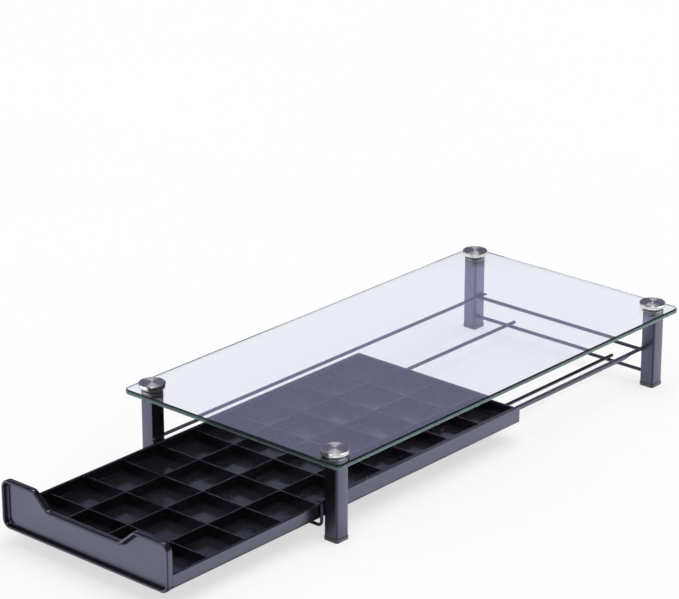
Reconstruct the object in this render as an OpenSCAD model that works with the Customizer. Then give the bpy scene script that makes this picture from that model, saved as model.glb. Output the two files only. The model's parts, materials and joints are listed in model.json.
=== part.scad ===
// Coffee pod drawer: a glass-topped riser with a sliding pod tray.
// Millimetres, +Z up, the drawer opens towards -Y.

/* [Cells] */
// Columns of pods across the drawer
columns = 4; // [2:1:6]
// Rows of pods along the drawer
rows = 10; // [4:1:12]
// Spacing of the columns
cell_w = 43; // [40:0.5:50]
// Spacing of the rows
cell_l = 40; // [39:0.5:50]
// Thickness of the divider strips
divider_t = 1; // [0.8:0.1:2]
// Height of the divider strips
divider_h = 8.6; // [6:0.2:9]

/* [Drawer pan] */
// Sheet thickness of the pan
sheet_t = 1.2; // [0.8:0.1:1.5]
// Height of the pan
pan_h = 12.5; // [12.5:0.5:20]
// Width of the rolled top edge
hem_w = 2.2; // [1.8:0.1:2.8]
// Outer bend radius where the floor meets the walls
pan_bend = 3; // [2:0.5:4]
// Rounding of the rear corners, seen from above
pan_corner_r = 2; // [1.6:0.2:4]
// How far the drawer stands open
drawer_out = 156; // [0:1:280]

/* [Front panel] */
// Height of the front panel
panel_h = 40; // [34:1:46]
// How far the panel reaches below the pan
panel_drop = 2.5; // [1:0.5:5]
// How far the panel reaches past the pan on each side
panel_side = 0.2; // [0:0.1:0.3]
// Depth of the panel from the rim to its back
panel_depth = 5.6; // [4.6:0.2:8]
// Thickness of the panel's plate
panel_t = 1.2; // [0.8:0.1:2]
// Width of the rim's front edge
rim_w = 2.6; // [1.6:0.1:3]
// Rounding of the rim's front
rim_r = 1.2; // [0.4:0.1:1.4]
// Fillet between the rim and the plate
recess_r = 1.6; // [0.6:0.1:2]
// Rounding of the panel's back edge
back_r = 0.8; // [0.3:0.1:1.2]
// Outer corner radius of the panel
panel_r = 7.5; // [5:0.5:12]
// Width of the finger scoop at the top
scoop_top = 106; // [94:1:120]
// Width of the finger scoop's level edge
scoop_low = 76; // [56:1:84]
// Depth of the finger scoop
scoop_h = 13; // [8:0.5:16]
// Rounding of the scoop's corners
scoop_r = 6; // [4:0.5:9]

/* [Stand] */
// Height of the glass top's upper face
stand_h = 70.3; // [68:0.1:100]
// Width of a square leg
leg_w = 12; // [11:0.5:16]
// Wall of the leg tube
leg_wall = 1.2; // [1:0.1:1.5]
// Rounding of the leg's edges
leg_r = 1.4; // [0.6:0.1:2]
// Gap between the shut drawer and the rear bars
rear_gap = 9.4; // [3:0.1:30]
// Height of a foot's lip
foot_h = 3; // [2:0.5:6]
// How far a foot's lip stands out from the leg
foot_lip = 0.7; // [0.4:0.1:1.5]
// Length of a foot's plug inside the leg
foot_plug = 12; // [8:1:20]
// Length of a threaded insert in the leg's top
insert_l = 14; // [12:1:20]

/* [Glass top] */
// Thickness of the glass
glass_t = 4; // [3:0.5:8]
// Overhang of the glass past the legs at the sides
glass_side = 11.2; // [8:0.1:30]
// Overhang of the glass past the legs at the ends
glass_end = 9.7; // [8:0.1:30]
// Corner radius of the glass
glass_r = 12; // [6:1:20]
// Ground edge of the glass
glass_bevel = 0.6; // [0.3:0.1:1]
// Holes in the glass
glass_hole = 9; // [8:0.5:11]

/* [Caps] */
// Diameter of a screw cap
cap_d = 22; // [20:0.5:26]
// Height of a screw cap
cap_h = 4.6; // [3.6:0.2:8]
// Diameter of the step under a cap
cap_step_d = 19; // [17:0.5:19.5]
// Height of the step under a cap
cap_step_h = 1; // [0.6:0.1:1.4]
// Diameter of a cap's stud
stud_d = 6; // [5:0.5:6]
// Depth of the stud in its insert
stud_grip = 10; // [8:0.5:11]
// Diameter of the gasket under a cap
gasket_d = 18; // [14:0.5:19]
// Thickness of the gasket
gasket_t = 0.6; // [0.4:0.1:1]
// Diameter of the spacer ring under the glass
spacer_d = 16.6; // [14:0.1:20]
// Thickness of the spacer ring
spacer_t = 1; // [0.6:0.1:3]

/* [Bars and rails] */
// Clear height under the lower bars
floor_gap = 9.5; // [7:0.5:20]
// Diameter of the rear bars
bar_d = 3; // [2.6:0.1:5]
// Diameter of the bent front bar
cradle_d = 2.6; // [2:0.1:5]
// Bend radius of the front bar
cradle_bend = 4; // [3:0.5:6]
// How far the front bar stands in front of the legs
cradle_out = 2.2; // [1:0.1:4]
// Diameter of the runner wires
runner_d = 3; // [2:0.1:4]
// Spacing of the runner wires
runner_gap = 107; // [50:1:120]
// Length of the runners' free ends past the rear bar
runner_end = 2; // [1:0.5:6]
// Flange of the side rails
rail_flange = 3.8; // [3.6:0.1:5]
// Height of the side rails
rail_h = 2.5; // [2:0.1:5]
// Thickness of the side rails
rail_t = 1; // [0.6:0.1:1.2]
// Gap between the drawer walls and the rails' flange
rail_lift = 2.7; // [2:0.1:4]
// Length of web cut away before the rear leg
rail_cut = 14; // [6:1:30]
// Length of the slope where the web ends
rail_slope = 8; // [2:1:15]

/* [Clearances] */
// Sliding gap between the drawer and the runners
slide_gap = 0.3; // [0.2:0.05:1]
// Gap between the drawer and the front bar's arms
arm_gap = 0.4; // [0.4:0.1:2]
// Gap left when the drawer is shut
stop_gap = 0.5; // [0.3:0.1:3]
// Gap at the ends of the dividers
strip_gap = 0.3; // [0.2:0.05:0.6]
// Gap round plugs, inserts and studs
plug_gap = 0.1; // [0.05:0.05:0.2]
// Gap left where welded wires cross
weld_gap = 0.05; // [0.02:0.01:0.1]

/* [Hidden] */
$fn = 48;
eps = 0.01;
// How far a cut reaches past what it cuts.
cut = 1;
// Rounding of the plugs and the inserts, and the least rounding inside a bend.
plug_r = 0.6;
bend_min = 0.4;
// Bevels of the feet, the studs' tips and the caps' tops and undersides.
foot_bevel = 0.5;
stud_lead = 0.5;
cap_bevel = 0.5;
cap_ease = 0.3;
// The pan holds whole cells, and the stand is built round the pan.
pan_in_w = columns * cell_w;
pan_in_l = rows * cell_l;
pan_w = pan_in_w + 2 * sheet_t;
pan_l = pan_in_l + 2 * sheet_t;
// Legs stand clear of the pan by the arms of the front bar.
leg_in = pan_w / 2 + arm_gap + cradle_d;
leg_x = leg_in + leg_w / 2;
leg_y = (pan_l + rear_gap + bar_d / 2 - leg_w / 2 - cradle_out - stop_gap) / 2;
leg_face = leg_y + leg_w / 2;
leg_top = stand_h - glass_t - spacer_t;
leg_bore = leg_w - 2 * leg_wall;
glass_w = 2 * (leg_x + leg_w / 2 + glass_side);
glass_l = 2 * (leg_face + glass_end);
// Heights of the wires, from the floor up.
low_top = floor_gap + bar_d;
runner_z = low_top + weld_gap + runner_d / 2;
pan_z = runner_z + runner_d / 2 + slide_gap;
pan_floor = pan_z + sheet_t;
rail_z = pan_z + pan_h + rail_lift;
rail_foot = rail_z + rail_t - rail_h;
// The front bar and the shut drawer.
arm_front = -leg_face - cradle_out;
arm_y = arm_front + cradle_d / 2;
arm_x = leg_in - cradle_d / 2;
arm_z = low_top - cradle_d / 2;
pan_front = arm_front - stop_gap - drawer_out;
pan_rear = pan_front + pan_l;
panel_z = pan_z - panel_drop;
panel_w = pan_w + 2 * panel_side;
panel_front = pan_front - panel_depth;
// The panel's roundings stay within its rim and its depth.
front_r = min(rim_r, rim_w / 2 - eps);
// How far the rim's flat foot and the plate lap, and how much sharper the
// plate's hidden edge turns at the scoop's shoulders.
plate_lap = 0.6;
plate_ease = 0.3;
fillet_r = min(
  recess_r,
  panel_depth - panel_t - front_r,
  min(scoop_r, panel_r) - rim_w - plate_lap - bend_min
);
rim_reach = rim_w + fillet_r;
// How far a slim run of the rim reaches into the bends at its ends.
slim_end = 0.05;
// Slope of the finger scoop's ends, and how far its corners reach along them.
scoop_turn = atan2(scoop_h, (scoop_top - scoop_low) / 2);
scoop_reach = scoop_r * tan(scoop_turn / 2);
// The middle of the object, drawer open, lies over the origin.
y_low = min(panel_front, -glass_l / 2);
y_high = max(pan_rear, glass_l / 2);
y_mid = (y_low + y_high) / 2;

// ---- shared shapes ----

// Puts the stand's own middle at the right place in the whole object.
module place() {
  translate([0, -y_mid, 0]) children();
}

// One leg position, sx and sy being -1 or 1.
module at_leg(sx, sy) {
  place() translate([sx * leg_x, sy * leg_y, 0]) children();
}

// All four leg positions.
module at_legs() {
  for (sx = [-1, 1])
    for (sy = [-1, 1])
      at_leg(sx, sy) children();
}

// Flat rectangle with round corners, centred.
module round_rect(w, l, r) {
  square([w - 2 * r, l], center = true);
  square([w, l - 2 * r], center = true);
  for (sx = [-1, 1])
    for (sy = [-1, 1])
      translate([sx * (w / 2 - r), sy * (l / 2 - r)]) circle(r);
}

// Half of a plate's edge section, from the middle out, bevelled at both faces.
module edge_section(half, h, lo, hi) {
  polygon([
    [0, 0], [half - lo, 0], [half, lo], [half, h - hi], [half - hi, h], [0, h]
  ]);
}

// Plate with round corners and bevelled edges, lo below and hi above.
module soft_plate(w, l, h, r, lo, hi) {
  for (m = [0, 1])
    mirror([m, 0, 0]) {
      translate([0, l / 2 - r, 0]) rotate([90, 0, 0])
        linear_extrude(l - 2 * r) edge_section(w / 2, h, lo, hi);
    }
  for (m = [0, 1])
    mirror([0, m, 0]) {
      translate([-(w / 2 - r), 0, 0]) rotate([90, 0, 90])
        linear_extrude(w - 2 * r) edge_section(l / 2, h, lo, hi);
    }
  for (sx = [-1, 1])
    for (sy = [-1, 1])
      translate([sx * (w / 2 - r), sy * (l / 2 - r), 0])
        rotate_extrude() edge_section(r, h, lo, hi);
}

// Straight round bar along X, centred.
module bar_x(len, d) {
  rotate([0, 90, 0]) cylinder(h = len, d = d, center = true);
}

// ---- stand ----

module leg(sx, sy) {
  at_leg(sx, sy) translate([0, 0, foot_h])
    linear_extrude(leg_top - foot_h) difference() {
      round_rect(leg_w, leg_w, leg_r);
      round_rect(leg_bore, leg_bore, max(leg_r - leg_wall, bend_min / 2));
    }
}

// Plastic plug with a soft lip that the leg stands on.
module foot(sx, sy) {
  lip = leg_w + 2 * foot_lip;
  plug = leg_bore - 2 * plug_gap;
  at_leg(sx, sy) {
    soft_plate(lip, lip, foot_h, leg_r + foot_lip, foot_bevel, foot_lip);
    translate([0, 0, foot_h - eps]) linear_extrude(foot_plug + eps) difference() {
      round_rect(plug, plug, plug_r);
      circle(d = plug / 2);
    }
  }
}

module leg_inserts() {
  block = leg_bore - 2 * plug_gap;
  color("DimGray") at_legs() translate([0, 0, leg_top - insert_l])
    linear_extrude(insert_l) difference() {
      round_rect(block, block, plug_r);
      circle(d = stud_d + 2 * plug_gap);
    }
}

module glass_spacers() {
  color("Silver") at_legs() translate([0, 0, leg_top]) linear_extrude(spacer_t)
    difference() {
      circle(d = spacer_d);
      circle(d = stud_d + 4 * plug_gap);
    }
}

module glass_top() {
  color([0.6, 0.85, 0.8, 0.5]) difference() {
    place() translate([0, 0, stand_h - glass_t])
      soft_plate(glass_w, glass_l, glass_t, glass_r, glass_bevel, glass_bevel);
    at_legs() translate([0, 0, stand_h - glass_t - cut])
      cylinder(h = glass_t + 2 * cut, d = glass_hole);
  }
}

module cap_gaskets() {
  color("Gainsboro") at_legs() translate([0, 0, stand_h]) linear_extrude(gasket_t)
    difference() {
      circle(d = gasket_d);
      circle(d = stud_d + 4 * plug_gap);
    }
}

// Turned cap on its stud, bevelled above and stepped below.
module glass_caps() {
  stud_l = gasket_t + glass_t + spacer_t + stud_grip;
  color("LightSteelBlue") at_legs() translate([0, 0, stand_h + gasket_t])
    rotate_extrude() polygon([
      [0, -stud_l],
      [stud_d / 2 - stud_lead, -stud_l],
      [stud_d / 2, stud_lead - stud_l],
      [stud_d / 2, 0],
      [cap_step_d / 2, 0],
      [cap_step_d / 2, cap_step_h],
      [cap_d / 2 - cap_ease, cap_step_h],
      [cap_d / 2, cap_step_h + cap_ease],
      [cap_d / 2, cap_h - cap_bevel],
      [cap_d / 2 - cap_bevel, cap_h],
      [0, cap_h]
    ]);
}

// Thin angle on the legs' inner faces. Its flange reaches over the drawer
// wall, and its web stops on a slope before the rear leg.
module side_rail(side) {
  web_end = leg_y - leg_w / 2 - rail_cut;
  far_end = leg_face;
  color([0.2, 0.2, 0.22]) place() mirror([side < 0 ? 1 : 0, 0, 0]) {
    translate([leg_in - rail_flange, arm_front, rail_z])
      cube([rail_flange, far_end - arm_front, rail_t]);
    translate([leg_in, 0, 0]) rotate([90, 0, -90]) linear_extrude(rail_t)
      polygon([
        [-arm_front, rail_foot],
        [-arm_front, rail_z + eps],
        [-web_end, rail_z + eps],
        [rail_slope - web_end, rail_foot]
      ]);
  }
}

module rear_bar(z) {
  place() translate([0, leg_y, z]) bar_x(2 * leg_in, bar_d);
}

// Bar bent to a U: it hangs from the rails' front ends and passes under the pan.
module front_cradle() {
  arm_low = arm_z + cradle_bend;
  color([0.25, 0.25, 0.27]) place() translate([0, arm_y, 0]) {
    translate([0, 0, arm_z]) bar_x(2 * (arm_x - cradle_bend), cradle_d);
    for (m = [0, 1])
      mirror([m, 0, 0]) {
        translate([arm_x - cradle_bend, 0, arm_low]) rotate([90, 0, 0])
          rotate([0, 0, -90]) rotate_extrude(angle = 90)
            translate([cradle_bend, 0]) circle(d = cradle_d);
        translate([arm_x, 0, arm_low]) cylinder(h = rail_foot - arm_low, d = cradle_d);
      }
  }
}

module runner(side) {
  tip = leg_y + bar_d / 2 + runner_end;
  place() translate([side * runner_gap / 2, 0, runner_z]) {
    translate([0, tip, 0]) rotate([90, 0, 0])
      cylinder(h = tip - arm_front, d = runner_d);
    translate([0, tip, 0]) sphere(d = runner_d);
  }
}

// ---- drawer ----

// Section across a wall-to-wall channel with both lower corners round.
module channel_section(w, h, r) {
  translate([-w / 2, r]) square([w, h - r]);
  translate([r - w / 2, 0]) square([w - 2 * r, h]);
  for (s = [-1, 1])
    translate([s * (w / 2 - r), r]) circle(r);
}

// Section along the same channel, with only the far lower corner round.
module tail_section(l, h, r) {
  square([l - r, h]);
  translate([0, r]) square([l, h - r]);
  translate([l - r, r]) circle(r);
}

// Solid trough: bent along both sides and the rear, corners round in plan.
module trough(w, l, h, bend, corner) {
  intersection() {
    rotate([90, 0, 180]) linear_extrude(l) channel_section(w, h, bend);
    translate([-w / 2, 0, 0]) rotate([90, 0, 90]) linear_extrude(w)
      tail_section(l, h, bend);
    linear_extrude(h) {
      translate([-w / 2, 0]) square([w, l - corner]);
      translate([corner - w / 2, 0]) square([w - 2 * corner, l]);
      for (s = [-1, 1])
        translate([s * (w / 2 - corner), l - corner]) circle(corner);
    }
  }
}

// Section of the rolled edge, outer face at x = 0 and growing to -x.
module hem_section() {
  r = hem_w / 2;
  translate([-hem_w, -hem_w]) square([hem_w, hem_w - r]);
  translate([-r, -r]) circle(r);
}

module drawer_pan() {
  color([0.16, 0.16, 0.18]) place() translate([0, pan_front, pan_z]) {
    difference() {
      trough(pan_w, pan_l, pan_h - hem_w / 2, pan_bend, pan_corner_r);
      translate([0, sheet_t, sheet_t])
        trough(pan_in_w, pan_in_l, pan_h, pan_bend - sheet_t, pan_corner_r - sheet_t);
    }
    for (m = [0, 1])
      mirror([m, 0, 0]) translate([pan_w / 2, 0, pan_h]) rotate([90, 0, 180])
        mirror([1, 0, 0]) linear_extrude(pan_l - pan_corner_r) hem_section();
    translate([pan_corner_r - pan_w / 2, pan_l, pan_h]) rotate([90, 0, 90])
      linear_extrude(pan_w - 2 * pan_corner_r) hem_section();
    for (m = [0, 1])
      mirror([m, 0, 0])
        translate([pan_w / 2 - pan_corner_r, pan_l - pan_corner_r, pan_h])
          hem_corner();
  }
}

// Quarter turn of the rolled edge round a rear corner of the pan.
module hem_corner() {
  intersection() {
    rotate_extrude() intersection() {
      translate([pan_corner_r, 0]) hem_section();
      translate([0, -hem_w]) square([pan_corner_r, hem_w]);
    }
    translate([0, 0, -hem_w]) cube([pan_corner_r, pan_corner_r, hem_w]);
  }
}

// Outline of the front panel, drawn in by d on every side, with the scoop's
// shoulders sharper by ease.
module panel_outline(d, ease = 0) {
  low = panel_h - scoop_h;
  zt = panel_h - d;
  zl = low - d;
  xt = scoop_low / 2 + (zt - low) / tan(scoop_turn) + d / sin(scoop_turn);
  xl = scoop_low / 2 - d / tan(scoop_turn) + d / sin(scoop_turn);
  r_out = scoop_r - d - ease;
  r_in = scoop_r + d;
  t_out = r_out * tan(scoop_turn / 2);
  t_in = r_in * tan(scoop_turn / 2);
  difference() {
    translate([0, panel_h / 2])
      round_rect(panel_w - 2 * d, panel_h - 2 * d, panel_r - d);
    // The scoop, with its two lower corners round.
    difference() {
      polygon([[-xl, zl], [xl, zl], [xt, zt], [xt, zt + cut], [-xt, zt + cut], [-xt, zt]]);
      for (m = [0, 1])
        mirror([m, 0]) difference() {
          polygon([
            [xl, zl],
            [xl - t_in, zl],
            [xl - t_in, zl + r_in],
            [xl + t_in * cos(scoop_turn), zl + t_in * sin(scoop_turn)]
          ]);
          translate([xl - t_in, zl + r_in]) circle(r_in, $fn = 96);
        }
    }
    // The round shoulders on both sides of the scoop.
    for (m = [0, 1])
      mirror([m, 0]) difference() {
        polygon([
          [xt - t_out * cos(scoop_turn), zt - t_out * sin(scoop_turn)],
          [xt + t_out, zt - r_out],
          [xt + t_out, zt + cut],
          [xt - t_out * cos(scoop_turn), zt + cut]
        ]);
        translate([xt + t_out, zt - r_out]) circle(r_out, $fn = 96);
      }
  }
}

// Section through the panel's rim: its outer face at x = 0, its back at y = 0,
// a round nose in front and a fillet down to a flat foot, which laps the plate.
// A skin thins it all round.
module rim_section(skin = 0) {
  foot = rim_reach + plate_lap - skin;
  translate([skin - rim_w, back_r])
    square([rim_w - 2 * skin, panel_depth - back_r - front_r]);
  translate([front_r - rim_w, panel_depth - 2 * front_r])
    square([rim_w - 2 * front_r, 2 * front_r - skin]);
  for (x = [-front_r, front_r - rim_w])
    translate([x, panel_depth - front_r]) circle(front_r - skin);
  translate([-back_r, back_r]) circle(back_r - skin);
  difference() {
    translate([-foot, skin]) square([foot - back_r, panel_t + fillet_r - skin]);
    translate([-rim_reach, panel_t + fillet_r]) circle(fillet_r + skin);
    translate([-foot - cut, panel_t - skin])
      square([foot + cut - rim_reach, fillet_r + skin + cut]);
  }
}

// Straight length of rim that starts at a point and heads at an angle, with
// its outer face on the right. A slim one ends inside the bends that it joins.
module rim_run(start, heading, len, slim = false) {
  more = slim ? slim_end : 0;
  translate(start) rotate([0, 0, heading - 90]) translate([0, len + more, 0])
    rotate([90, 0, 0]) linear_extrude(len + 2 * more) rim_section(slim ? eps : 0);
}

// Length of rim round an outer corner.
module rim_bend(centre, r, from, turn) {
  translate(centre) rotate([0, 0, from]) rotate_extrude(angle = turn)
    translate([r, 0]) rim_section();
}

// Length of rim round an inner corner.
module rim_hollow(centre, r, from, turn) {
  translate(centre) rotate([0, 0, from]) rotate_extrude(angle = turn)
    translate([r, 0]) mirror([1, 0]) rim_section();
}

// The whole rim, run by run: up the right side, over the shoulder and down
// into the scoop, and the same mirrored.
module panel_rim() {
  side = panel_w / 2;
  low = panel_h - scoop_h;
  shoulder_x = scoop_top / 2 + scoop_reach;
  hollow_x = scoop_low / 2 - scoop_reach;
  rim_run([panel_r - side, 0], 0, panel_w - 2 * panel_r);
  rim_run([hollow_x, low], 180, 2 * hollow_x);
  for (m = [0, 1])
    mirror([m, 0, 0]) {
      rim_bend([side - panel_r, panel_r], panel_r, 270, 90);
      rim_run([side, panel_r], 90, panel_h - 2 * panel_r);
      rim_bend([side - panel_r, panel_h - panel_r], panel_r, 0, 90);
      rim_run([side - panel_r, panel_h], 180, side - panel_r - shoulder_x);
      rim_bend([shoulder_x, panel_h - scoop_r], scoop_r, 90, scoop_turn);
      rim_run(
        [scoop_top / 2 - scoop_reach * cos(scoop_turn), panel_h - scoop_reach * sin(scoop_turn)],
        180 + scoop_turn,
        scoop_h / sin(scoop_turn) - 2 * scoop_reach,
        true
      );
      rim_hollow([hollow_x, low + scoop_r], scoop_r, 270, scoop_turn);
    }
}

// Pressed panel: a plate at the back with its rim turned forward all round,
// every edge of it round.
module front_panel() {
  color([0.18, 0.18, 0.2]) place() translate([0, pan_front, panel_z]) rotate([90, 0, 0]) {
    linear_extrude(panel_t) panel_outline(rim_reach + plate_lap / 2, plate_ease);
    panel_rim();
  }
}

// Strip standing on the floor, cut for the strips that cross it at places xs.
// Its lower corners clear the pan's bends. cut_top says where the cuts open.
module divider(len, xs, cut_top) {
  foot_cut = pan_bend - sheet_t;
  half = divider_h / 2;
  slot = divider_t + 2 * plug_gap;
  rotate([90, 0, 0]) translate([0, 0, -divider_t / 2]) linear_extrude(divider_t)
    difference() {
      polygon([
        [foot_cut - len / 2, 0],
        [len / 2 - foot_cut, 0],
        [len / 2, foot_cut],
        [len / 2, divider_h],
        [-len / 2, divider_h],
        [-len / 2, foot_cut]
      ]);
      for (x = xs)
        translate([x - slot / 2, cut_top ? half - plug_gap : -cut])
          square([slot, half + plug_gap + cut]);
    }
}

module cross_dividers() {
  xs = [for (i = [1 : columns - 1]) i * cell_w - pan_in_w / 2];
  color([0.3, 0.3, 0.34]) place() for (j = [1 : rows - 1])
    translate([0, pan_front + sheet_t + j * cell_l, pan_floor])
      divider(pan_in_w - 2 * strip_gap, xs, true);
}

module long_dividers() {
  ys = [for (j = [1 : rows - 1]) j * cell_l - pan_in_l / 2];
  color([0.35, 0.35, 0.4]) place() for (i = [1 : columns - 1])
    translate([i * cell_w - pan_in_w / 2, (pan_front + pan_rear) / 2, pan_floor])
      rotate([0, 0, 90]) divider(pan_in_l - 2 * strip_gap, ys, false);
}

module leg_front_left() { color([0.15, 0.15, 0.17]) leg(-1, -1); }
module leg_front_right() { color([0.15, 0.15, 0.17]) leg(1, -1); }
module leg_rear_left() { color([0.15, 0.15, 0.17]) leg(-1, 1); }
module leg_rear_right() { color([0.15, 0.15, 0.17]) leg(1, 1); }
module foot_front_left() { color([0.08, 0.08, 0.08]) foot(-1, -1); }
module foot_front_right() { color([0.08, 0.08, 0.08]) foot(1, -1); }
module foot_rear_left() { color([0.08, 0.08, 0.08]) foot(-1, 1); }
module foot_rear_right() { color([0.08, 0.08, 0.08]) foot(1, 1); }
module side_rail_left() { side_rail(-1); }
module side_rail_right() { side_rail(1); }
module rear_upper_bar() { color([0.22, 0.22, 0.25]) rear_bar(rail_z - weld_gap - bar_d / 2); }
module rear_lower_bar() { color([0.22, 0.22, 0.25]) rear_bar(low_top - bar_d / 2); }
module runner_left() { color([0.3, 0.3, 0.32]) runner(-1); }
module runner_right() { color([0.3, 0.3, 0.32]) runner(1); }

leg_front_left();
leg_front_right();
leg_rear_left();
leg_rear_right();
foot_front_left();
foot_front_right();
foot_rear_left();
foot_rear_right();
leg_inserts();
glass_spacers();
glass_top();
cap_gaskets();
glass_caps();
side_rail_left();
side_rail_right();
rear_upper_bar();
rear_lower_bar();
front_cradle();
runner_left();
runner_right();
drawer_pan();
front_panel();
cross_dividers();
long_dividers();
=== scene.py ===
"""Coffee pod drawer: a glass-topped riser with a sliding pod tray, dressed for Blender.

Metres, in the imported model's frame: +X right, +Y to the rear, +Z up. The drawer opens towards -Y.
"""
import json
import math

import bpy
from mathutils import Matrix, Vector
from mathutils.geometry import tessellate_polygon


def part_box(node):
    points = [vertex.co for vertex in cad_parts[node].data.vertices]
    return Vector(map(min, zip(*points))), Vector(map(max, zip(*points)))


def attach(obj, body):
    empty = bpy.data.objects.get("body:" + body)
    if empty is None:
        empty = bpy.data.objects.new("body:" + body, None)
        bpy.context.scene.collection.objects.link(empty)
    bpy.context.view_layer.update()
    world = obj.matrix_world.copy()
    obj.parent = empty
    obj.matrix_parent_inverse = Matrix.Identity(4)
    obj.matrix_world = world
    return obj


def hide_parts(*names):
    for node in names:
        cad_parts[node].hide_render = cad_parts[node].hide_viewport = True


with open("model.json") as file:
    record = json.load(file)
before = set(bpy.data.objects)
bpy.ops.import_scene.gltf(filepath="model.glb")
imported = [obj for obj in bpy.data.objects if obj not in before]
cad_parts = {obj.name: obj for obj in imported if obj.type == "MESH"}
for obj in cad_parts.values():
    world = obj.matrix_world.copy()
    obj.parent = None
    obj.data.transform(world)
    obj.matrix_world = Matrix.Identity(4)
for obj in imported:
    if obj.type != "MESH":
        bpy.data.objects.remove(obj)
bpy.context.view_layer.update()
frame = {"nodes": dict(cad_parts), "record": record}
NODES = frame["nodes"]

MM = 0.001
TAU = 2 * math.pi

# ---------------------------------------------------------------- sizes
# The front panel, as the solids have it.
PANEL_R = 7.5 * MM
PANEL_RIM = 2.6 * MM
PANEL_PLATE = 1.2 * MM
SCOOP_TOP = 106 * MM
SCOOP_LOW = 76 * MM
SCOOP_H = 13 * MM
SCOOP_R = 6 * MM
# Rounding of the panel's pressed edges.
RIM_ROUND = 1.2 * MM
RECESS_FILLET = 1.6 * MM
BACK_ROUND = 0.8 * MM

# The legs and feet, which the photograph shows stouter than the solids: they grow outward and rearward.
LEG_W = 13.4 * MM
LEG_R = 1.8 * MM
LEG_WALL = 1.2 * MM
LEG_BORE_R = 0.3 * MM
FOOT_LIP = 0.4 * MM
FOOT_H = 3 * MM
FOOT_BEVEL = 0.4 * MM

# The glass.
GLASS_R = 6 * MM
GLASS_BEVEL = 0.5 * MM
GLASS_TOP_BEVEL = 0.9 * MM
GLASS_HOLE_R = 4.5 * MM

# The screw caps.
CAP_R = 11 * MM
CAP_STEP_R = 9.5 * MM
CAP_STEP_H = 1 * MM
CAP_STUD_R = 3 * MM
CAP_BEVEL = 0.5 * MM
CAP_EASE = 0.18 * MM
STUD_LEAD = 0.5 * MM

# Steps in which curves are drawn.
LEG_STEPS = 6
PANEL_STEPS = 10
SCOOP_STEPS = 7
ROUND_STEPS = 6
GLASS_STEPS = 16
HOLE_STEPS = 40
CAP_STEPS = 96


# ---------------------------------------------------------------- mesh helpers
def make_object(name, verts, faces, smooth_angle=None):
    """A mesh object whose place is in its vertices."""
    mesh = bpy.data.meshes.new(name)
    mesh.from_pydata([tuple(v) for v in verts], [], faces)
    mesh.validate()
    mesh.update()
    obj = bpy.data.objects.new(name, mesh)
    bpy.context.scene.collection.objects.link(obj)
    if smooth_angle is not None:
        smooth(obj, smooth_angle)
    return obj


def smooth(obj, degrees):
    """Smooth shading, with edges over the angle kept sharp."""
    mesh = obj.data
    mesh.polygons.foreach_set("use_smooth", [True] * len(mesh.polygons))
    mesh.set_sharp_from_angle(angle=math.radians(degrees))


def arc(cx, cy, r, start, end, steps):
    """Points on an arc, from start to end in degrees."""
    return [
        (cx + r * math.cos(math.radians(start + (end - start) * i / steps)),
         cy + r * math.sin(math.radians(start + (end - start) * i / steps)))
        for i in range(steps + 1)
    ]


def loft(loops):
    """Vertices, and quads between closed loops of equal length, in order."""
    n = len(loops[0])
    faces = []
    for k in range(len(loops) - 1):
        for i in range(n):
            j = (i + 1) % n
            faces.append((k * n + i, k * n + j, (k + 1) * n + j, (k + 1) * n + i))
    return [v for loop in loops for v in loop], faces


def lathe(profile, segments):
    """A closed turned solid about Z. The profile runs from axis to axis."""
    verts, faces, rings = [], [], []
    for r, z in profile:
        if r < 1e-9:
            rings.append([len(verts)])
            verts.append((0, 0, z))
        else:
            rings.append([len(verts) + i for i in range(segments)])
            verts += [(r * math.cos(TAU * i / segments), r * math.sin(TAU * i / segments), z)
                      for i in range(segments)]
    for a, b in zip(rings, rings[1:]):
        for i in range(segments):
            j = (i + 1) % segments
            if len(a) == 1:
                faces.append((a[0], b[i], b[j]))
            elif len(b) == 1:
                faces.append((a[i], b[0], a[j]))
            else:
                faces.append((a[i], b[i], b[j], a[j]))
    return verts, faces


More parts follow.
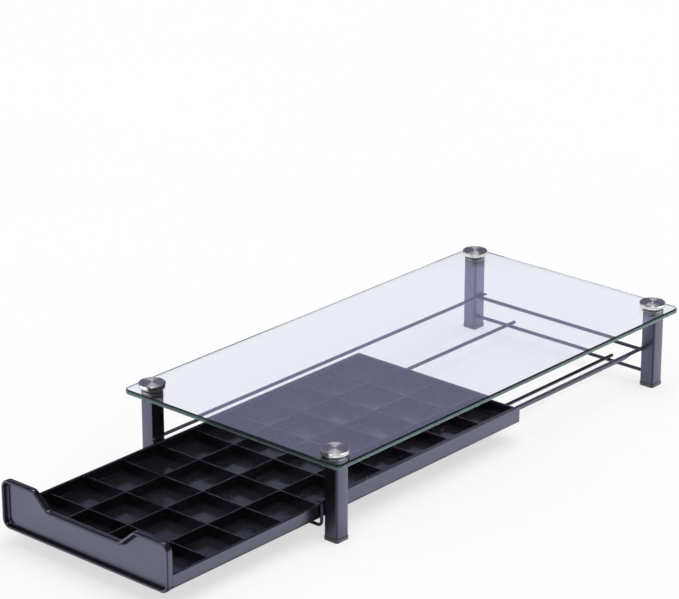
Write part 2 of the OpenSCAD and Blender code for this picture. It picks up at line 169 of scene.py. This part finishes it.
# ---------------------------------------------------------------- node helpers
class Nodes:
    """Short calls for the node tree of a world or a material."""

    def __init__(self, holder):
        holder.use_nodes = True
        self.tree = holder.node_tree

    def add(self, kind, **values):
        node = self.tree.nodes.new(kind)
        for key, value in values.items():
            setattr(node, key, value)
        return node

    def link(self, a, b):
        self.tree.links.new(a, b)

    def position(self):
        return self.add("ShaderNodeTexCoord").outputs["Object"]

    def noise(self, scale, detail, rough=0.5, vector=None):
        node = self.add("ShaderNodeTexNoise")
        node.inputs["Scale"].default_value = scale
        node.inputs["Detail"].default_value = detail
        node.inputs["Roughness"].default_value = rough
        self.link(vector or self.position(), node.inputs["Vector"])
        return node.outputs["Fac"]

    def remap(self, value, low, high, to_low, to_high):
        node = self.add("ShaderNodeMapRange")
        limits = {"From Min": low, "From Max": high, "To Min": to_low, "To Max": to_high}
        for key, number in limits.items():
            node.inputs[key].default_value = number
        self.link(value, node.inputs["Value"])
        return node.outputs["Result"]

    def math(self, operation, a, b=None):
        node = self.add("ShaderNodeMath", operation=operation)
        for socket, value in zip(node.inputs, (a, b)):
            if value is None:
                continue
            if isinstance(value, (int, float)):
                socket.default_value = value
            else:
                self.link(value, socket)
        return node.outputs[0]

    def blend(self, factor, a, b):
        node = self.add("ShaderNodeMix", data_type="RGBA")
        self.link(factor, node.inputs[0])
        for socket, value in ((node.inputs[6], a), (node.inputs[7], b)):
            if isinstance(value, tuple):
                socket.default_value = (*value, 1.0)
            else:
                self.link(value, socket)
        return node.outputs[2]

    def band(self, value, start, full, end, gone):
        """1 from full to end, fading to 0 at start and gone."""
        return self.math("MULTIPLY", self.remap(value, start, full, 0.0, 1.0),
                         self.remap(value, gone, end, 0.0, 1.0))

    def dot(self, a, b):
        node = self.add("ShaderNodeVectorMath", operation="DOT_PRODUCT")
        for socket, value in zip(node.inputs, (a, b)):
            if isinstance(value, tuple):
                socket.default_value = value
            else:
                self.link(value, socket)
        return node.outputs["Value"]

    def choose(self, factor, a, b):
        """Shader a where the factor is 0, and b where it is 1."""
        node = self.add("ShaderNodeMixShader")
        for socket, value in zip(node.inputs, (factor, a, b)):
            self.link(value, socket)
        return node.outputs[0]

    def bump(self, height, strength, distance, normal=None):
        node = self.add("ShaderNodeBump")
        node.inputs["Strength"].default_value = strength
        node.inputs["Distance"].default_value = distance
        self.link(height, node.inputs["Height"])
        if normal is not None:
            self.link(normal, node.inputs["Normal"])
        return node.outputs["Normal"]

    def soft_edges(self, radius):
        """The normal with its edges rounded, and a mask that is 1 along outer edges."""
        bevel = self.add("ShaderNodeBevel", samples=6)
        bevel.inputs["Radius"].default_value = radius
        plain = self.add("ShaderNodeNewGeometry").outputs["Normal"]
        turn = self.dot(bevel.outputs["Normal"], plain)
        return bevel.outputs["Normal"], self.remap(turn, 0.99, 0.80, 0.0, 1.0)


class Surface(Nodes):
    """A material with its Principled shader."""

    def __init__(self, name):
        self.mat = bpy.data.materials.new(name)
        super().__init__(self.mat)
        self.shader = self.tree.nodes["Principled BSDF"]
        self.out = self.tree.nodes["Material Output"]

    def set(self, **values):
        for key, value in values.items():
            self.shader.inputs[key.replace("_", " ")].default_value = value


# ---------------------------------------------------------------- materials
def coat_material(name, dark, light, gloss, grain=1.0):
    """Semi-gloss black stove enamel on sheet and tube: orange peel, rubbed edges, faint clouding."""
    m = Surface(name)
    normal, edge = m.soft_edges(0.35 * MM)
    cloud = m.noise(45, 3)
    speck = m.noise(1400, 2, 0.6)
    base = m.blend(cloud, dark, light)
    worn = m.math("MULTIPLY", edge, m.remap(m.noise(260, 3), 0.35, 0.75, 0.1, 0.7))
    m.link(m.blend(worn, base, (0.05, 0.05, 0.056)), m.shader.inputs["Base Color"])
    rough = m.math("ADD", m.remap(cloud, 0.3, 0.7, gloss - 0.03, gloss + 0.04),
                   m.remap(speck, 0.3, 0.7, -0.02, 0.03))
    m.link(m.math("ADD", rough, m.math("MULTIPLY", worn, 0.08)), m.shader.inputs["Roughness"])
    peel = m.math("ADD", m.noise(620, 2), m.math("MULTIPLY", speck, 0.25))
    m.link(m.bump(peel, 0.10 * grain, 0.12 * MM, normal), m.shader.inputs["Normal"])
    m.set(IOR=1.72, Specular_Tint=(0.65, 0.66, 1.0, 1.0))
    return m.mat


def turned_steel(name, tone, rough):
    """Steel turned about the piece's own Z axis, with its fine rings."""
    m = Surface(name)
    split = m.add("ShaderNodeSeparateXYZ")
    m.link(m.position(), split.inputs[0])
    radius = m.math("SQRT", m.math("ADD", m.math("POWER", split.outputs["X"], 2.0),
                                   m.math("POWER", split.outputs["Y"], 2.0)))
    line = m.add("ShaderNodeCombineXYZ")
    m.link(radius, line.inputs["X"])
    m.link(split.outputs["Z"], line.inputs["Y"])
    rings = m.noise(5200, 3, 0.7, line.outputs[0])
    cloud = m.noise(160, 2)
    shade = m.remap(rings, 0.25, 0.75, 0.0, 1.0)
    low = tuple(c * 0.86 for c in tone)
    m.link(m.blend(shade, low, tone), m.shader.inputs["Base Color"])
    m.link(m.math("ADD", m.remap(rings, 0.2, 0.8, rough - 0.04, rough + 0.05),
                  m.remap(cloud, 0.3, 0.7, -0.015, 0.02)), m.shader.inputs["Roughness"])
    m.link(m.bump(rings, 0.12, 0.03 * MM), m.shader.inputs["Normal"])
    tangent = m.add("ShaderNodeTangent", direction_type="RADIAL", axis="Z")
    m.link(tangent.outputs[0], m.shader.inputs["Tangent"])
    m.set(Metallic=1.0, Anisotropic=0.85, Anisotropic_Rotation=0.25)
    return m.mat


def plain_steel(name, tone, rough):
    """Bright drawn steel with faint wear."""
    m = Surface(name)
    cloud = m.noise(380, 3)
    m.link(m.blend(cloud, tuple(c * 0.8 for c in tone), tone), m.shader.inputs["Base Color"])
    m.link(m.remap(m.noise(1500, 2), 0.3, 0.7, rough - 0.05, rough + 0.08),
           m.shader.inputs["Roughness"])
    m.link(m.bump(m.noise(2400, 2), 0.1, 0.02 * MM), m.shader.inputs["Normal"])
    m.set(Metallic=1.0)
    return m.mat


def green_body(m):
    """The faint green of the glass's depth."""
    absorb = m.add("ShaderNodeVolumeAbsorption")
    absorb.inputs["Color"].default_value = (0.45, 0.86, 0.80, 1.0)
    absorb.inputs["Density"].default_value = 4.0
    m.link(absorb.outputs[0], m.out.inputs["Volume"])


def glass_material(name, tint, rough):
    """Clear tempered glass with a trace of haze."""
    m = Surface(name)
    haze = m.noise(35, 4, 0.6)
    m.link(m.blend(haze, tint, tuple(min(1.0, c * 1.015) for c in tint)), m.shader.inputs["Base Color"])
    m.link(m.remap(haze, 0.45, 0.8, rough, rough + 0.012), m.shader.inputs["Roughness"])
    m.set(Transmission_Weight=1.0, IOR=1.5)
    green_body(m)
    return m.mat


def ground_edge():
    """The glass's ground edge, green glass seen end on, with painted shade dark at the upper face and
    painted light paler towards the lower face.
    """
    m = Surface("glass_edge")
    low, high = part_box("glass_top")
    split = m.add("ShaderNodeSeparateXYZ")
    m.link(m.position(), split.inputs[0])
    # Painted light and shade: the edge's colour runs by height from near black at the upper face to
    # pale teal at the lower face.
    painted_light_ramp = m.math("ADD", m.remap(split.outputs["Z"], low.z, high.z, 1.0, 0.0),
                   m.remap(m.noise(240, 3), 0.3, 0.7, -0.04, 0.04))
    painted_light_amount = m.math("POWER", m.math("MAXIMUM", painted_light_ramp, 0.0), 1.7)
    m.link(m.blend(painted_light_amount, (0.001, 0.008, 0.008), (0.60, 0.84, 0.82)), m.shader.inputs["Base Color"])
    m.link(m.remap(m.noise(900, 2), 0.3, 0.7, 0.04, 0.09), m.shader.inputs["Roughness"])
    m.set(Transmission_Weight=0.72, IOR=1.5, Specular_Tint=(0.35, 0.7, 0.7, 1.0))
    green_body(m)
    return m.mat


def foot_plastic():
    """Matt black moulded plastic."""
    m = Surface("foot_plastic")
    normal, edge = m.soft_edges(0.5 * MM)
    cloud = m.noise(120, 3)
    rub = m.math("MULTIPLY", edge, m.remap(m.noise(500, 2), 0.4, 0.7, 0.1, 0.6))
    black = m.blend(cloud, (0.010, 0.010, 0.012), (0.018, 0.018, 0.020))
    m.link(m.blend(rub, black, (0.05, 0.05, 0.05)), m.shader.inputs["Base Color"])
    m.link(m.remap(cloud, 0.3, 0.7, 0.34, 0.46), m.shader.inputs["Roughness"])
    m.link(m.bump(m.noise(2600, 2, 0.7), 0.25, 0.05 * MM, normal), m.shader.inputs["Normal"])
    m.set(IOR=1.9, Specular_Tint=(0.9, 0.9, 1.0, 1.0))
    return m.mat


def soft_gasket():
    """Grey silicone washer."""
    m = Surface("gasket")
    grey = m.blend(m.noise(500, 2), (0.36, 0.37, 0.38), (0.46, 0.47, 0.48))
    m.link(grey, m.shader.inputs["Base Color"])
    m.link(m.remap(m.noise(1800, 2), 0.3, 0.7, 0.4, 0.55), m.shader.inputs["Roughness"])
    m.link(m.bump(m.noise(2200, 2), 0.1, 0.03 * MM), m.shader.inputs["Normal"])
    return m.mat


def dress(obj, *materials):
    obj.data.materials.clear()
    for material in materials:
        obj.data.materials.append(material)


# ---------------------------------------------------------------- front panel
def panel_outline(half, low, high, inset):
    """The panel's outline at an inset, counter-clockwise from its lower left corner, as (x, z)."""
    turn = math.atan2(SCOOP_H, (SCOOP_TOP - SCOOP_LOW) / 2)
    deg = math.degrees(turn)
    corner = PANEL_R - inset
    side, base, top = half - inset, low + inset, high - inset
    edge = high - SCOOP_H - inset
    slope_x = SCOOP_LOW / 2 + inset / math.sin(turn)
    x_top = slope_x + (high - inset - (high - SCOOP_H)) / math.tan(turn)
    x_low = slope_x - inset / math.tan(turn)
    outer, inner = SCOOP_R - inset, SCOOP_R + inset
    x_outer = x_top + outer * math.tan(turn / 2)
    x_inner = x_low - inner * math.tan(turn / 2)
    return (
        arc(corner - side, base + corner, corner, 180, 270, PANEL_STEPS)
        + arc(side - corner, base + corner, corner, 270, 360, PANEL_STEPS)
        + arc(side - corner, top - corner, corner, 0, 90, PANEL_STEPS)
        + arc(x_outer, top - outer, outer, 90, 90 + deg, SCOOP_STEPS)
        + arc(x_inner, edge + inner, inner, 270 + deg, 270, SCOOP_STEPS)
        + arc(-x_inner, edge + inner, inner, 270, 270 - deg, SCOOP_STEPS)
        + arc(-x_outer, top - outer, outer, 90 - deg, 90, SCOOP_STEPS)
        + arc(corner - side, top - corner, corner, 90, 180, PANEL_STEPS)
    )


def build_panel(material):
    """Pressed panel: a plate with its rim turned forward, every edge rounded."""
    low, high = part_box("front_panel")
    half, front, back = (high.x - low.x) / 2, low.y, high.y
    plate = back - PANEL_PLATE
    r, f, b = RIM_ROUND, RECESS_FILLET, BACK_ROUND
    quarter = [math.pi / 2 * i / ROUND_STEPS for i in range(ROUND_STEPS + 1)]
    sections = [(b - b * math.sin(t), back - b + b * math.cos(t)) for t in quarter]
    sections += [(r - r * math.cos(t), front + r - r * math.sin(t)) for t in quarter]
    sections += [(PANEL_RIM - r + r * math.sin(t), front + r - r * math.cos(t)) for t in quarter]
    sections += [(PANEL_RIM + f - f * math.cos(t), plate - f + f * math.sin(t)) for t in quarter]
    loops = [[(x, y, z) for x, z in panel_outline(half, low.z, high.z, inset)] for inset, y in sections]
    verts, faces = loft(loops)
    n = len(loops[0])
    faces.append(tuple(range(n))[::-1])
    faces.append(tuple(range(len(verts) - n, len(verts))))
    faces = [tuple(reversed(face)) for face in faces]
    panel = make_object("panel", verts, faces, 35)
    dress(panel, material)
    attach(panel, "drawer")
    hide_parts("front_panel")


# ---------------------------------------------------------------- legs
def leg_centres():
    """Name and centre of each leg, seen from above."""
    for name in ("front_left", "front_right", "rear_left", "rear_right"):
        low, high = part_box("leg_" + name)
        yield name, (low.x + high.x) / 2, (low.y + high.y) / 2


def rounded(low_x, low_y, width, length, r):
    """A round-cornered rectangle from its lowest corner, counter-clockwise."""
    x, y = low_x + width - r, low_y + length - r
    corners = ((x, y, 0), (low_x + r, y, 90), (low_x + r, low_y + r, 180), (x, low_y + r, 270))
    return [point for cx, cy, start in corners
            for point in arc(cx, cy, r, start, start + 90, LEG_STEPS)]


def build_legs(coat, plastic):
    """Square tubes with soft corners, and the foot plugs in their lower ends."""
    for name, _, _ in leg_centres():
        low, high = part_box("leg_" + name)
        width = high.x - low.x
        x = low.x if low.x > 0 else high.x - LEG_W
        inside = width - 2 * LEG_WALL
        bore = rounded(low.x + LEG_WALL, low.y + LEG_WALL, inside, inside, LEG_BORE_R)
        outer = rounded(x, low.y, LEG_W, LEG_W, LEG_R)
        levels = ((outer, low.z), (outer, high.z), (bore, high.z), (bore, low.z), (outer, low.z))
        verts, faces = loft([[(px, py, z) for px, py in loop] for loop, z in levels])
        keep = len(verts) - len(outer)
        faces = [tuple(i if i < keep else i - keep for i in face) for face in faces]
        leg = make_object("leg_tube_" + name, verts[:keep], faces, 35)
        dress(leg, coat)
        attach(leg, "stand")
        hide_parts("leg_" + name)

        def lip(inset):
            side = FOOT_LIP - inset
            return rounded(x - side, low.y - side, LEG_W + 2 * side, LEG_W + 2 * side, LEG_R + side)

        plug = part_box("foot_" + name)[1].z
        levels = ((lip(FOOT_BEVEL), 0.0), (lip(0.1 * MM), FOOT_BEVEL * 0.6), (lip(0.0), FOOT_BEVEL),
                  (lip(0.0), FOOT_H - 0.2 * MM), (lip(0.2 * MM), FOOT_H), (bore, FOOT_H), (bore, plug))
        verts, faces = loft([[(px, py, z) for px, py in loop] for loop, z in levels])
        n = len(bore)
        faces += [tuple(range(n))[::-1], tuple(range(len(verts) - n, len(verts)))]
        foot = make_object("foot_plug_" + name, verts, faces, 35)
        dress(foot, plastic)
        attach(foot, "stand")
        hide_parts("foot_" + name)


# ---------------------------------------------------------------- glass
def build_glass(clear, edge):
    """Toughened plate with round corners, ground edges and four drilled holes."""
    low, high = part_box("glass_top")
    cx, cy = (low.x + high.x) / 2, (low.y + high.y) / 2
    half_w, half_l = (high.x - low.x) / 2, (high.y - low.y) / 2

    def outline(inset):
        r = GLASS_R - inset
        w, l = half_w - inset - r, half_l - inset - r
        points = []
        for sx, sy, start in ((1, 1, 0), (-1, 1, 90), (-1, -1, 180), (1, -1, 270)):
            points += arc(cx + sx * w, cy + sy * l, r, start, start + 90, GLASS_STEPS)
        return points

    b, t = GLASS_BEVEL, GLASS_TOP_BEVEL
    levels = [(b, low.z), (b * 0.35, low.z + b * 0.35), (0.0, low.z + b),
              (0.0, high.z - t), (t * 0.35, high.z - t * 0.35), (t, high.z)]
    verts, faces = loft([[(x, y, z) for x, y in outline(inset)] for inset, z in levels])
    n = len(outline(0))
    holes = []
    for _, x, y in leg_centres():
        start = len(verts)
        circle = arc(x, y, GLASS_HOLE_R, 0, 360 - 360 / HOLE_STEPS, HOLE_STEPS - 1)
        wall, sides = loft([[(px, py, z) for px, py in circle] for z in (low.z, high.z)])
        verts += wall
        faces += [tuple(start + i for i in reversed(side)) for side in sides]
        holes.append(start)
    edges = len(faces)
    for level, first, flip in ((low.z, 0, True), (high.z, n * (len(levels) - 1), False)):
        rings = [list(range(first, first + n))]
        rings += [[s + (0 if flip else HOLE_STEPS) + i for i in range(HOLE_STEPS)] for s in holes]
        flat = [i for r in rings for i in r]
        for tri in tessellate_polygon([[Vector(verts[i]) for i in r] for r in rings]):
            a, c, d = (flat[t] for t in tri)
            va, vc, vd = (Vector(verts[i]) for i in (a, c, d))
            up = (vc - va).cross(vd - va).z > 0
            faces.append((a, c, d) if up != flip else (a, d, c))
    glass = make_object("glass_plate", verts, faces, 18)
    dress(glass, clear, edge)
    for i, face in enumerate(glass.data.polygons):
        face.material_index = 1 if i < edges else 0
        face.use_smooth = i < edges
    glass.visible_shadow = False
    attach(glass, "stand")
    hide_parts("glass_top")


# ---------------------------------------------------------------- screw caps
def build_caps(*steels_with_painted_light):
    """Turned caps with eased edges, a slim step below and the stud that grips the leg."""
    low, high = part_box("glass_caps")
    top = high.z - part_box("cap_gaskets")[1].z
    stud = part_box("cap_gaskets")[1].z - low.z
    bevel, ease = CAP_BEVEL, CAP_EASE
    profile = [(0.0, top), (CAP_R - bevel - 2 * ease, top)]
    profile += [(CAP_R - bevel - ease + ease * math.sin(t), top - ease + ease * math.cos(t))
                for t in (0.2, 0.5, 0.8)]
    profile += [(CAP_R - ease * 0.6, top - bevel + ease * 0.3), (CAP_R, top - bevel - ease * 0.6)]
    profile += [(CAP_R, CAP_STEP_H + 0.35 * MM), (CAP_R - 0.08 * MM, CAP_STEP_H + 0.1 * MM),
                (CAP_R - 0.3 * MM, CAP_STEP_H), (CAP_STEP_R + 0.1 * MM, CAP_STEP_H),
                (CAP_STEP_R, CAP_STEP_H - 0.1 * MM), (CAP_STEP_R, 0.1 * MM),
                (CAP_STEP_R - 0.1 * MM, 0.0), (CAP_STUD_R + 0.1 * MM, 0.0),
                (CAP_STUD_R, -0.1 * MM), (CAP_STUD_R, STUD_LEAD - stud),
                (CAP_STUD_R - STUD_LEAD, -stud), (0.0, -stud)]
    verts, faces = lathe(profile, CAP_STEPS)
    for name, x, y in leg_centres():
        cap = make_object("screw_cap_" + name, verts, [tuple(reversed(f)) for f in faces], 28)
        cap.location = (x, y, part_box("cap_gaskets")[1].z)
        dress(cap, *steels_with_painted_light)
        # Three tones of one steel: the turned top, the side painted near white as a painted highlight,
        # and the step and stud painted dark as painted shade under the cap.
        for face in cap.data.polygons:
            turned = abs(face.normal.z) > 0.5 and face.center.z > CAP_STEP_H
            face.material_index = 0 if turned else 1 if face.center.z > CAP_STEP_H else 2
        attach(cap, "stand")
        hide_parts("glass_caps")


# ---------------------------------------------------------------- stage
# What reflections see above the floor, by the sine of the height angle: the floor's glow
# below a dark room, and beside it a pale strip at the height where the glass mirrors its backdrop.
STUDIO = ((0.0, (1.0, 1.0, 1.0)), (0.05, (0.80, 0.80, 0.86)), (0.14, (0.04, 0.04, 0.06)),
          (1.0, (0.04, 0.04, 0.05)))
STRIP = (0.50, 0.50, 0.78)
# The side where the photograph's view is mirrored.
REAR_LEFT = (-0.662, 0.750, 0.0)
# A soft light at the front left, which the panel and the legs' fronts mirror.
FRONT_LEFT = (-math.sqrt(0.5), -math.sqrt(0.5), 0.0)
SIDE_LIGHT = (0.55, 0.55, 0.62)
# How much of the seen floor glows by itself, and how far its shade in reflections reaches.
FLOOR_GLOW = 0.65
FLOOR_SHADE = 45 * MM
# Reflections of the floor: two wide soft lights brighten it at the front left and the rear right.
FLOOR_DIM = (0.80, 0.80, 0.83)
FLOOR_LIT = (2.0, 2.0, 2.1)
# Straight down, the floor's reflection is painted dark: a painted shadow of the object on the floor
# beneath it.
FLOOR_PAINTED_SHADOW = (0.15, 0.15, 0.17)
# The reflections of a soft box high on the front right and of a long lamp high on the rear left.
SOFT_BOX = (9.0, 9.0, 9.2)
SOFT_BOX_WAY = (0.236, -0.268, 0.934)
LONG_LAMP = (8.5, 8.5, 8.7)
# The even light on everything that isn't a mirror, and the lamp overhead.
FILL_LEVEL = 0.6
LAMP_LEVEL = 1.6
LAMP_SPREAD = math.radians(55)
LAMP_TILT = (math.radians(-8), math.radians(10), 0.0)
# The photograph's viewpoint, solved from the object's corners: a long lens over two metres away.
CAMERA_PLACE = (1.41606, -1.61559, 0.95911)
CAMERA_TURN = math.radians(41.425)
CAMERA_DIP = math.radians(21.021)
CAMERA_LENS = 154.38


def build_floor():
    """Plain pale floor: lifted to white where it is seen, with the object's soft shadow on it."""
    reach = 8.0
    corners = [(x * reach, y * reach, 0.0) for x, y in ((-1, -1), (1, -1), (1, 1), (-1, 1))]
    floor = make_object("floor", corners, [(0, 1, 2, 3)])
    m = Surface("floor_white")
    tone = m.blend(m.noise(3, 2), (0.89, 0.89, 0.89), (0.91, 0.91, 0.91))
    m.link(tone, m.shader.inputs["Base Color"])
    m.set(Roughness=0.9, Specular_IOR_Level=0.0)
    path = m.add("ShaderNodeLightPath")
    bounced = m.math("MAXIMUM", path.outputs["Is Glossy Ray"], path.outputs["Is Transmission Ray"])
    seen = m.math("MAXIMUM", path.outputs["Is Camera Ray"], bounced)
    glow = m.add("ShaderNodeEmission")
    glow.inputs["Strength"].default_value = 1.0
    lifted = m.choose(m.math("MULTIPLY", seen, FLOOR_GLOW), m.shader.outputs[0], glow.outputs[0])
    # Reflections see through the floor to the studio below, but for where the object shades it.
    # A refracted ray counts as glossy too, so it is taken off again.
    shade = m.add("ShaderNodeAmbientOcclusion", samples=8)
    shade.inputs["Distance"].default_value = FLOOR_SHADE
    clear = m.add("ShaderNodeBsdfTransparent").outputs[0]
    mirrored = m.choose(m.math("POWER", shade.outputs["AO"], 2.0), m.shader.outputs[0], clear)
    reflected = m.math("SUBTRACT", path.outputs["Is Glossy Ray"], path.outputs["Is Transmission Ray"])
    m.link(m.choose(reflected, lifted, mirrored), m.out.inputs["Surface"])
    dress(floor, m.mat)


def build_world():
    """White backdrop for the camera, even fill for the shading, and a darker studio for reflections."""
    world = bpy.data.worlds.new("studio")
    bpy.context.scene.world = world
    w = Nodes(world)
    w.tree.nodes.clear()
    out = w.add("ShaderNodeOutputWorld")
    path = w.add("ShaderNodeLightPath")
    split = w.add("ShaderNodeSeparateXYZ")
    direction = w.add("ShaderNodeTexCoord").outputs["Generated"]
    w.link(direction, split.inputs[0])
    height = split.outputs["Z"]
    ramp = w.add("ShaderNodeValToRGB")
    while len(ramp.color_ramp.elements) < len(STUDIO):
        ramp.color_ramp.elements.new(0.5)
    for element, (place, colour) in zip(ramp.color_ramp.elements, STUDIO):
        element.position = place
        element.color = (*colour, 1.0)
    w.link(height, ramp.inputs["Fac"])
    # The pale strip, on the side where the photograph's view is mirrored.
    level = w.math("SQRT", w.math("SUBTRACT", 1.0001, w.math("POWER", height, 2.0)))
    mirrored = w.remap(w.math("DIVIDE", w.dot(direction, REAR_LEFT), level), 0.80, 0.92, 0.0, 1.0)
    strip = w.math("MULTIPLY", w.band(height, 0.33, 0.35, 0.42, 0.45), mirrored)
    room = w.blend(strip, ramp.outputs["Color"], STRIP)
    # A soft light at the front left, from the floor up.
    facing = w.dot(direction, FRONT_LEFT)
    lit = w.math("MULTIPLY", w.remap(facing, 0.35, 0.75, 0.0, 1.0),
                 w.remap(height, 0.75, 0.55, 0.0, 1.0))
    room = w.blend(lit, room, SIDE_LIGHT)
    # The soft box and the long lamp.
    room = w.blend(w.remap(w.dot(direction, SOFT_BOX_WAY), 0.980, 0.988, 0.0, 1.0), room, SOFT_BOX)
    lamp = w.math("MULTIPLY", w.band(height, 0.77, 0.80, 0.88, 0.90), mirrored)
    room = w.blend(lamp, room, LONG_LAMP)
    # The floor's reflection, brightest along the line from the front left to the rear right.
    along = w.math("DIVIDE", w.math("ABSOLUTE", facing), level)
    ground = w.blend(w.remap(along, 0.45, 0.9, 0.0, 1.0), FLOOR_DIM, FLOOR_LIT)
    # Steeply downwards the floor's reflection turns dark: painted shadow under the object.
    ground = w.blend(w.remap(height, -0.75, -0.5, 0.0, 1.0), FLOOR_PAINTED_SHADOW, ground)
    mirror = w.blend(w.remap(height, -0.02, 0.02, 0.0, 1.0), ground, room)

    def background(strength, colour=None):
        node = w.add("ShaderNodeBackground")
        node.inputs["Strength"].default_value = strength
        if colour is None:
            node.inputs["Color"].default_value = (1.0, 1.0, 1.0, 1.0)
        else:
            w.link(colour, node.inputs["Color"])
        return node.outputs[0]

    bounced = w.math("MAXIMUM", path.outputs["Is Glossy Ray"], path.outputs["Is Transmission Ray"])
    unseen = w.choose(bounced, background(FILL_LEVEL), background(1.0, mirror))
    w.link(w.choose(path.outputs["Is Camera Ray"], unseen, background(1.0)), out.inputs["Surface"])


def build_lights():
    """One very soft lamp overhead, which lights the floor evenly and shows in no reflection."""
    lamp = bpy.data.lights.new("overhead", "SUN")
    lamp.energy = LAMP_LEVEL
    lamp.angle = LAMP_SPREAD
    obj = bpy.data.objects.new("overhead", lamp)
    bpy.context.scene.collection.objects.link(obj)
    obj.rotation_euler = LAMP_TILT
    obj.visible_glossy = False
    obj.visible_transmission = False


def build_camera():
    """The camera at the photograph's viewpoint."""
    look = Vector((-math.sin(CAMERA_TURN) * math.cos(CAMERA_DIP),
                   math.cos(CAMERA_TURN) * math.cos(CAMERA_DIP), -math.sin(CAMERA_DIP)))
    camera = bpy.data.objects.new("camera", bpy.data.cameras.new("camera"))
    bpy.context.scene.collection.objects.link(camera)
    camera.data.sensor_width = 36.0
    camera.data.lens = CAMERA_LENS
    camera.location = CAMERA_PLACE
    camera.rotation_mode = "QUATERNION"
    camera.rotation_quaternion = look.to_track_quat("-Z", "Y")
    bpy.context.scene.camera = camera


# ---------------------------------------------------------------- build
build_camera()
build_floor()
build_world()
build_lights()

PARTS = {
    "frame_coat": coat_material("frame_coat", (0.005, 0.005, 0.006), (0.008, 0.008, 0.009), 0.19),
    "drawer_coat": coat_material("drawer_coat", (0.005, 0.005, 0.006), (0.009, 0.009, 0.010), 0.21),
    "divider_coat": coat_material("divider_coat", (0.004, 0.004, 0.005), (0.008, 0.008, 0.009),
                                  0.26, 1.3),
    "foot_plastic": foot_plastic(),
    "gasket": soft_gasket(),
    "cap_steel": turned_steel("cap_steel", (0.50, 0.49, 0.51), 0.33),
    "spacer_steel": plain_steel("spacer_steel", (0.34, 0.34, 0.36), 0.32),
    "insert_steel": plain_steel("insert_steel", (0.5, 0.5, 0.5), 0.35),
    "glass": glass_material("glass", (0.970, 0.972, 0.990), 0.0),
}
for entry in frame["record"]["subparts"]:
    dress(NODES[entry["node"]], PARTS[entry["material_slot"]])

build_legs(PARTS["frame_coat"], PARTS["foot_plastic"])
build_panel(PARTS["drawer_coat"])
build_glass(PARTS["glass"], ground_edge())
# The cap's near-white side steel is a painted highlight; the dark step steel is painted shade.
build_caps(PARTS["cap_steel"], plain_steel("cap_side_painted_highlight", (0.97, 0.97, 0.97), 0.2),
           plain_steel("cap_step_painted_shade", (0.34, 0.34, 0.37), 0.30))

bpy.context.scene.view_settings.view_transform = "Standard"
